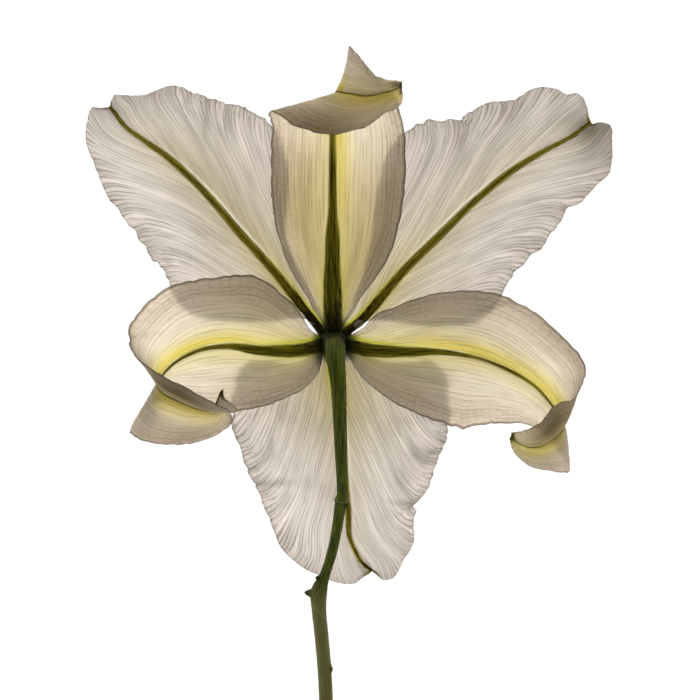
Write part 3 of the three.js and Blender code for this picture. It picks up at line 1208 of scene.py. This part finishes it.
def on_heading(profile_mm: Stops, degrees: float) -> np.ndarray:
    """Lay (distance, height) points out on one heading from the flower's axis.

    Args:
        profile_mm: Distances from the axis and heights, in millimetres.
        degrees: The heading, anticlockwise from +X seen from above.

    Returns:
        Points in millimetres, with the axis half a millimetre up the page.
    """
    distance, height = np.array(profile_mm, dtype=float).T
    angle = np.radians(degrees)
    return np.stack([distance * np.cos(angle), 0.5 + distance * np.sin(angle), height], axis=1)


# ---------------------------------------------------------------- the flower's own sizes

INNER_RIB = ((0.0, 1.9), (0.25, 1.45), (0.5, 1.2), (0.8, 0.72), (1.0, 0.45))
TOP_RIB = ((0.0, 3.3), (0.1, 3.2), (0.2, 2.5), (0.3, 1.35), (0.42, 0.95), (0.6, 0.5), (1.0, 0.45))
SIDE_RIB = ((0.0, 2.5), (0.1, 2.2), (0.2, 1.6), (0.28, 0.9), (0.36, 0.5), (0.6, 0.4), (1.0, 0.4))
INNER_GLOW = ((0.0, 0.35), (0.3, 0.12), (0.6, 0.0), (1.0, 0.0))
TOP_GLOW = ((0.0, 0.1), (0.2, 0.4), (0.35, 1.0), (0.5, 1.0), (0.8, 0.9), (1.0, 0.6))
SIDE_GLOW = ((0.0, 0.1), (0.15, 0.45), (0.25, 0.95), (0.55, 1.0), (0.8, 0.9), (1.0, 0.6))


def tepals() -> list[Tepal]:
    """List the six tepals: three inner ones that carry the flower, three outer ones rolled back."""
    return [
        Tepal(
            name="lily_tepal_inner_left", node="tepal_inner_left", slot="inner_tepal",
            venation=Venation.FANNED,
            midrib=[(-3.5, 3.5, 51), (-11, 13, 48.5), (-22, 27, 41), (-34.5, 41, 31),
                    (-47, 55.5, 21), (-59.5, 67.5, 13), (-69, 74.5, 9), (-76.5, 80, 8),
                    (-80.5, 85, 8), (-82.5, 87.5, 10)],
            left=[(-4.5, 1.5, 51), (-9.5, 9, 49), (-36, 8, 37), (-53, 12.5, 25), (-63.3, 28, 14),
                  (-73, 40, 7), (-83.4, 54.8, 3), (-91, 71.5, 0.5), (-91, 86, 3), (-83.5, 87, 9)],
            right=[(-1.5, 5, 51), (-7.5, 16.5, 47), (-16.5, 38.5, 39), (-16.5, 64, 29),
                   (-24.2, 81.3, 19),
                   (-38.8, 88.5, 11), (-50.5, 92.5, 6), (-59.8, 95.8, 2), (-80, 92.5, 3),
                   (-82, 88.5, 9)],
            rib_width=INNER_RIB, glow=INNER_GLOW, ruffle=0.9, waves=7.0, phase=0.4, seed=21,
            flank_side=Side.RIGHT,
            nicks=[
                Nick(Side.RIGHT, 0.82, 0.035, 2.4, 0.25),
                Nick(Side.RIGHT, 0.62, 0.012, 0.6, 0.35),
                Nick(Side.RIGHT, 0.53, 0.02, -0.8),
                Nick(Side.LEFT, 0.63, 0.012, 0.7),
                Nick(Side.LEFT, 0.56, 0.014, 1.0, 0.15),
                Nick(Side.LEFT, 0.52, 0.014, 0.9, 0.15),
                Nick(Side.LEFT, 0.48, 0.014, -0.8),
            ],
            patches=[
                Patch(Tone.DUSK, 0.93, 0.1, 0.14, 0.9, 0.26),
                Patch(Tone.DUSK, 0.6, 0.6, 0.3, 0.5, 0.14),
                Patch(Tone.OLIVE, 0.42, 0.1, 0.3, 0.35, 0.25),
                Patch(Tone.DUSK, 0.4, -0.35, 0.1, 0.15, 0.12),
            ],
        ),
        Tepal(
            name="lily_tepal_inner_right", node="tepal_inner_right", slot="inner_tepal",
            venation=Venation.FANNED,
            midrib=[(3.5, 3.5, 51), (11.5, 10.5, 48.5), (24.5, 26, 41), (37.5, 39, 31),
                    (51, 52.3, 21), (64.5, 63.5, 13), (76.5, 71, 9), (86, 76, 8), (90.5, 79, 8),
                    (94, 82, 10)],
            left=[(1.5, 5, 51), (7.5, 16.5, 47), (13.5, 38.5, 39), (17.5, 64, 29), (28.5, 79.5, 19),
                  (42.5, 82.5, 11), (54.5, 88.2, 6), (72.6, 94.8, 2), (90, 92.8, 3),
            (93.5, 83.5, 9)],
            right=[(4.5, 1.5, 51), (10.5, 8.5, 49), (37, 6.5, 36), (53, 9, 25), (65, 25, 14),
                   (76.5, 37, 7), (88.7, 51.3, 3), (101, 64.5, 0.5), (102, 80.5, 3), (94.5, 81, 9)],
            rib_width=INNER_RIB, glow=INNER_GLOW, ruffle=0.9, waves=8.0, phase=2.1, seed=37,
            flank_side=Side.LEFT,
            nicks=[
                Nick(Side.LEFT, 0.505, 0.02, -1.6),
                Nick(Side.LEFT, 0.575, 0.022, 1.5, 0.3),
                Nick(Side.LEFT, 0.73, 0.035, 2.2, 0.3),
                Nick(Side.LEFT, 0.855, 0.015, 0.9, 0.15),
                Nick(Side.RIGHT, 0.645, 0.02, 2.2, 0.25),
                Nick(Side.RIGHT, 0.685, 0.02, -0.8),
                Nick(Side.RIGHT, 0.555, 0.014, -0.8),
                Nick(Side.RIGHT, 0.51, 0.012, 0.7, 0.2),
            ],
            patches=[
                Patch(Tone.DUSK, 0.93, 0.35, 0.16, 0.9, 0.8),
                Patch(Tone.DUSK, 0.55, 0.5, 0.2, 0.4, 0.1),
                Patch(Tone.DUSK, 0.55, -0.55, 0.24, 0.4, 0.2),
                Patch(Tone.OLIVE, 0.45, -0.1, 0.3, 0.35, 0.12),
            ],
        ),
        Tepal(
            name="lily_tepal_inner_bottom", node="tepal_inner_bottom", slot="inner_tepal",
            venation=Venation.FANNED,
            midrib=[(0, -4.5, 51), (0.5, -12, 46), (2, -23.5, 38), (3, -36, 28), (4, -49, 18),
                    (5, -61, 11), (5.5, -70, 7), (8.5, -77.5, 5), (11, -81, 5), (14, -83, 7)],
            right=[(-2, -3.5, 51), (-12, -6, 45), (-30, -6, 36), (-35, -14.5, 25),
                   (-37, -31, 14), (-31.4, -46.5, 8), (-25.2, -61.5, 4), (-16.8, -78.2, 2),
                   (3.5, -88.3, 0.6), (13, -84, 6)],
            left=[(2, -3.5, 51), (15, -5.5, 45), (34.5, -6, 36), (40.5, -15, 25), (41, -31, 14),
                  (36, -47.5, 8), (30, -61.5, 4), (28.3, -76, 2), (20.5, -86.5, 0.6),
                  (15, -83.5, 6)],
            rib_width=INNER_RIB, glow=INNER_GLOW, ruffle=0.9, waves=7.0, phase=4.0, seed=53,
            nicks=[
                Nick(Side.LEFT, 0.645, 0.014, 1.9, 0.4),
                Nick(Side.LEFT, 0.67, 0.008, -1.0),
                Nick(Side.LEFT, 0.5, 0.03, -0.7, 0.2),
                Nick(Side.LEFT, 0.8, 0.03, 0.8, 0.15),
                Nick(Side.LEFT, 0.04, 0.05, -2.4),
                Nick(Side.RIGHT, 0.04, 0.05, -2.4),
                Nick(Side.RIGHT, 0.585, 0.015, 0.6, 0.3),
                Nick(Side.RIGHT, 0.7, 0.02, 0.5),
            ],
            patches=[
                Patch(Tone.DUSK, 0.9, 0.3, 0.12, 0.8, 0.2),
                Patch(Tone.DUSK, 0.96, -0.6, 0.05, 0.5, 0.2),
                Patch(Tone.DUSK, 0.5, -0.65, 0.07, 0.2, 0.14),
                Patch(Tone.OLIVE, 0.2, 0.0, 0.2, 0.6, 0.2),
                Patch(Tone.DUSK, 0.7, -0.2, 0.2, 0.6, 0.1),
            ],
        ),
        Tepal(
            name="lily_tepal_outer_top", node="tepal_outer_top", slot="outer_tepal",
            venation=Venation.PARALLEL,
            midrib=[(0, 5, 54), (-0.5, 16, 54), (-0.5, 31, 52), (-0.5, 47, 48), (-0.5, 64, 44),
                    (-0.5, 78.5, 43), (0.3, 88.7, 48), (5.5, 88.5, 56), (12, 87.5, 58),
                    (17.5, 88.5, 59), (22, 90, 59), (24, 91.5, 59)],
            left=[(-2, 4.5, 54), (-8.5, 15, 53), (-16.5, 29.5, 50), (-21.5, 46, 46),
                  (-22.5, 63, 43),
                  (-22, 76.5, 43), (-22.5, 82.9, 48), (-13, 77, 55), (0.5, 74, 59), (14, 78.5, 61),
                  (23.5, 84.5, 61), (24, 90.5, 59.5)],
            right=[(2, 4.5, 54), (8.5, 15, 53), (18.5, 29.5, 50), (24, 46, 46), (25.5, 65.5, 43),
                   (23, 84.5, 44), (6.5, 105, 50), (10, 100.6, 55), (13.8, 95.5, 57),
                   (17.5, 93.5, 58),
                   (22, 93, 59), (24, 92.5, 58.5)],
            rib_width=TOP_RIB, glow=TOP_GLOW, ruffle=0.35, waves=5.0, phase=0.9, seed=71,
            glow_side=Side.RIGHT, glow_width=4.5, glow_turn=0.6, flank_depth=0.3,
            patches=[
                Patch(Tone.OLIVE, 0.28, -0.45, 0.18, 0.45, 0.5),
                Patch(Tone.OLIVE, 0.22, 0.5, 0.18, 0.4, 0.45),
                Patch(Tone.DUSK, 0.3, 1.0, 0.2, 0.2, 0.25),
                Patch(Tone.DUSK, 0.3, -1.0, 0.2, 0.16, 0.15),
                Patch(Tone.DUSK, 0.68, -0.9, 0.1, 0.45, 0.6),
                Patch(Tone.OLIVE, 0.78, 0.0, 0.2, 1.0, 0.2),
            ],
            nicks=[Nick(Side.LEFT, 0.8, 0.02, -0.8), Nick(Side.LEFT, 0.85, 0.02, 0.8)],
        ),
        Tepal(
            name="lily_tepal_outer_left", node="tepal_outer_left", slot="outer_tepal",
            venation=Venation.PARALLEL,
            midrib=[(-4.5, 0, 54), (-12.5, -2, 54), (-25.5, -2, 51), (-37.5, -0.5, 46),
                    (-48.5, -2, 40), (-58, -7, 36), (-62.8, -13.3, 41), (-60.5, -17, 48),
                    (-54.5, -20, 51), (-48, -22.5, 52), (-42.5, -22.5, 55), (-39.5, -16, 60)],
            left=[(-4, -2, 54), (-9, -14, 51), (-21, -20.5, 48), (-33.5, -23.5, 42), (-48, -24, 35),
                  (-63, -20.5, 32), (-73, -30, 36), (-67, -34.5, 42), (-55, -35.5, 45),
                  (-43, -32.5, 47), (-36, -27, 50), (-39.5, -17, 59)],
            right=[(-4, 2.5, 54), (-11.3, 7.8, 52.5), (-25.5, 23.5, 48), (-42.5, 24, 43),
                   (-60.5, 20, 38), (-72.8, 8, 38), (-71.7, -2, 45), (-64, -9, 57), (-53, -14, 63),
                   (-44, -19.5, 64), (-34.5, -23, 64), (-38.5, -15.5, 61)],
            rib_width=SIDE_RIB, glow=SIDE_GLOW, ruffle=0.3, waves=5.0, phase=2.6, seed=83,
            glow_side=Side.RIGHT, glow_width=4.5, glow_turn=0.6, flank_side=Side.RIGHT,
            patches=[
                Patch(Tone.OLIVE, 0.1, 0.5, 0.1, 0.6, 0.1),
                Patch(Tone.DUSK, 0.72, 0.6, 0.14, 0.45, 0.8),
                Patch(Tone.OLIVE, 0.72, 0.5, 0.14, 0.35, 0.5),
                Patch(Tone.DUSK, 0.68, 1.0, 0.2, 0.1, 0.7),
                Patch(Tone.DUSK, 0.6, -0.5, 0.06, 0.6, 0.5),
                Patch(Tone.DUSK, 0.75, -0.85, 0.15, 0.5, 0.5),
            ],
            nicks=[
                Nick(Side.RIGHT, 0.11, 0.03, -2.4),
                Nick(Side.LEFT, 0.03, 0.04, -1.5),
                Nick(Side.RIGHT, 0.5, 0.012, 0.8, 0.2),
                Nick(Side.RIGHT, 0.972, 0.022, 4.0),
                Nick(Side.LEFT, 0.975, 0.02, 3.0),
            ],
        ),
        Tepal(
            name="lily_tepal_outer_right", node="tepal_outer_right", slot="outer_tepal",
            venation=Venation.PARALLEL,
            midrib=[(4.5, 0, 54), (13.5, -2, 54), (25, -2.5, 51), (37.5, -2.5, 46),
                    (50.5, -4.5, 40), (62.5, -9, 36), (73.5, -16, 34), (81.5, -27, 41),
                    (79.5, -31.5, 49), (73.5, -35.5, 52), (67.5, -35.5, 54), (62.5, -32, 56)],
            left=[(4, 2.5, 54), (13.3, 7.6, 52.5), (25, 15, 48), (41.5, 19.2, 43), (60.3, 17.9, 38),
                  (76.3, 8.3, 36), (89.8, -6.5, 40), (86.5, -18, 49), (78.5, -20.5, 57),
                  (73, -27, 61),
                  (67, -30, 60), (62.5, -31, 57)],
            right=[(4, -2, 54), (10, -11.5, 51), (21.5, -20.5, 48), (34.5, -26.5, 42),
                   (46, -29.5, 38), (59.5, -28, 34), (72.5, -30, 33), (83.3, -44, 40),
                   (78, -45, 45),
                   (69.5, -43, 48), (63.5, -37, 51), (62, -33, 55)],
            rib_width=SIDE_RIB, glow=SIDE_GLOW, ruffle=0.3, waves=5.0, phase=5.1, seed=97,
            glow_side=Side.LEFT, glow_width=4.5, glow_turn=0.7, flank_side=Side.LEFT,
            patches=[
                Patch(Tone.DUSK, 0.78, -0.6, 0.12, 0.5, 0.6),
                Patch(Tone.OLIVE, 0.78, -0.5, 0.14, 0.5, 0.5),
                Patch(Tone.DUSK, 0.8, 0.7, 0.14, 0.6, 0.35),
                Patch(Tone.DUSK, 0.52, -0.95, 0.14, 0.25, 0.35),
                Patch(Tone.DUSK, 0.4, 0.0, 0.3, 1.4, 0.13),
                Patch(Tone.OLIVE, 0.35, -0.3, 0.2, 0.3, 0.12),
            ],
            nicks=[
                Nick(Side.LEFT, 0.11, 0.03, -2.0),
                Nick(Side.LEFT, 0.39, 0.012, 0.6, 0.2),
                Nick(Side.RIGHT, 0.36, 0.01, -0.7),
            ],
        ),
    ]


def frame_offset(pieces: Sequence[Tepal]) -> np.ndarray:
    """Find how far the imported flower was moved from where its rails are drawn.

    Args:
        pieces: The tepals, with their rails.

    Returns:
        The middle value of the distances between each packed tepal's box and its blade's.
    """
    s = np.linspace(0, 1, 60)
    t = np.broadcast_to(np.linspace(-1, 1, 21), (60, 21))
    shifts = []
    for tepal in pieces:
        low, high = (np.array(corner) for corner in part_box(tepal.node))
        blade = tepal.plain(s, t)
        shifts.append((low + high) / 2 - (blade.min(axis=(0, 1)) + blade.max(axis=(0, 1))) / 2)
    return np.median(np.array(shifts), axis=0)


@dataclass
class LightTable:
    """The studio: a glowing white table top, a bright soft surround and one soft lamp."""

    offset: np.ndarray
    eye_mm: tuple[float, float, float] = (5.7, -1.8, 1200.0)
    view_width_mm: float = 259.0
    sensor_mm: float = 36.0
    table_reach: float = 4.0
    table_level: float = -0.0004
    glow: float = 1.05
    beam: float = 2.6
    beam_spread: float = 4.0
    beam_way: tuple[float, float, float] = (0.0, 0.0, 1.0)

    def build(self) -> None:
        """Make the table, the surround, the lamp and the camera."""
        self._table()
        self._surround()
        self._lamp()
        self._camera()
        bpy.context.scene.view_settings.view_transform = "Standard"

    def _table(self) -> None:
        """Lay a flat white glowing sheet just under the flower."""
        mesh = bpy.data.meshes.new("light_table")
        reach, level = self.table_reach, self.table_level
        corners = [(x * reach, y * reach, level) for x, y in ((-1, -1), (1, -1), (1, 1), (-1, 1))]
        mesh.from_pydata(corners, [], [(0, 1, 2, 3)])
        table = bpy.data.objects.new("light_table", mesh)
        bpy.context.scene.collection.objects.link(table)
        # Opal acrylic lit evenly from below: an even white with no shade on it.
        material, add = blank_material("opal_acrylic_lit")
        glow = add("ShaderNodeEmission", {"Color": linear("#FFFFFF"), "Strength": self.glow})
        add("ShaderNodeOutputMaterial", {"Surface": glow}, None)
        mesh.materials.append(material)
        table.visible_shadow = False

    def _surround(self) -> None:
        """Paint the sky: white at the horizon, dimmer overhead, so the back stays in shade."""
        world = bpy.data.worlds.new("studio")
        world.use_nodes = True
        world.node_tree.nodes.clear()
        add = partial(add_node, world.node_tree)
        way = add("ShaderNodeTexCoord", out="Generated")
        height = add("ShaderNodeSeparateXYZ", {"Vector": way}, "Z")
        tone = add(
            "ShaderNodeValToRGB",
            {"Fac": height},
            stops=((0.0, grey(1.0)), (0.30, grey(0.95)), (0.75, grey(0.30))),
        )
        sky = add("ShaderNodeBackground", {"Color": tone, "Strength": 1.0})
        add("ShaderNodeOutputWorld", {"Surface": sky}, None)
        bpy.context.scene.world = world

    def _lamp(self) -> None:
        """Shine one steady lamp up through the table top, and hang a large soft one above."""
        beam = bpy.data.lights.new("table_lamp", "SUN")
        beam.energy, beam.angle = self.beam, np.radians(self.beam_spread)
        tube = bpy.data.objects.new("table_lamp", beam)
        tube.rotation_euler = Vector(self.beam_way).to_track_quat("-Z", "Y").to_euler()
        bpy.context.scene.collection.objects.link(tube)
        lamp = bpy.data.lights.new("soft_box", "AREA")
        lamp.shape, lamp.size, lamp.energy = "SQUARE", 0.8, 1.2
        box = bpy.data.objects.new("soft_box", lamp)
        box.location = (-0.7, 0.6, 0.9)
        box.rotation_euler = (-box.location).to_track_quat("-Z", "Y").to_euler()
        bpy.context.scene.collection.objects.link(box)

    def _camera(self) -> None:
        """Look straight down from above the flower's middle."""
        eye = Vector(np.array(self.eye_mm) * MM + self.offset)
        eye.z = self.eye_mm[2] * MM
        data = bpy.data.cameras.new("overhead")
        data.sensor_width = self.sensor_mm
        data.lens = self.sensor_mm * self.eye_mm[2] / self.view_width_mm
        data.clip_start, data.clip_end = 0.05, 20.0
        camera = bpy.data.objects.new("overhead", data)
        camera.location = eye
        camera.rotation_euler = (0.0, 0.0, 0.0)
        bpy.context.scene.collection.objects.link(camera)
        bpy.context.scene.camera = camera


def main() -> None:
    """Build the flower piece by piece, then the studio, and log the frame offset."""
    logging.basicConfig(level=logging.INFO, format="%(name)s %(message)s")
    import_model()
    petals = tepals()
    offset = frame_offset(petals)
    LOG.info("frame offset in mm: %s", np.round(offset / MM, 2))

    inner = TepalTissue(
        name="lily_inner_tepal_tissue", blade="#F6F1EB", throat="#EFE6CA", glow="#F0E8A0",
        rim="#F3EDE7", vein="#7C6E60", rib_light="#AEA640", rib_dark="#6C5E16",
        grain_mm=1.3, streak_mm=16.0, vein_mm=3.2, mesh_mm=14.0, vein_depth=0.52,
        streak_depth=0.17, painted_edge_shade_depth=0.45, fringe_depth=0.38,
    ).build()
    outer = TepalTissue(
        name="lily_outer_tepal_tissue", blade="#F8F2E8", throat="#F3ECCE", glow="#F2E674",
        rim="#F2EADF", vein="#A08C64", rib_light="#98922E", rib_dark="#4E4C10",
        grain_mm=0.9, streak_mm=22.0, vein_mm=1.6, mesh_mm=34.0, vein_depth=0.36,
        streak_depth=0.10, net_depth=0.25, painted_edge_shade_depth=0.85, shift=3.0,
    ).build()
    stalk_green = GreenSkin(
        "lily_stem_skin", light="#555F14", dark="#2A3204", mark_and_shade="#16170A"
    ).build()
    pale_green = GreenSkin(
        "lily_filament_skin", light="#D3DCA6", dark="#B4C27C", mark_and_shade="#9A9A60"
    ).build()
    ovary_green = GreenSkin(
        "lily_pistil_skin", light="#A9B765", dark="#7F9144", mark_and_shade="#6B4A3C"
    ).build()
    pollen = PollenCoat().build()

    for tepal in petals:
        tepal.offset = offset
        tepal.build(inner if tepal.venation is Venation.FANNED else outer)
    Stem(offset).build(stalk_green)
    for side, heading in (
        ("east", 0), ("northeast", 41), ("north", 90), ("northwest", 134), ("west", 180),
        ("south", 270),
    ):
        Stamen(side, heading, offset).build(pale_green, pollen)
    Pistil(offset).build(ovary_green)
    LightTable(offset).build()


if __name__ == "__main__":
    main()
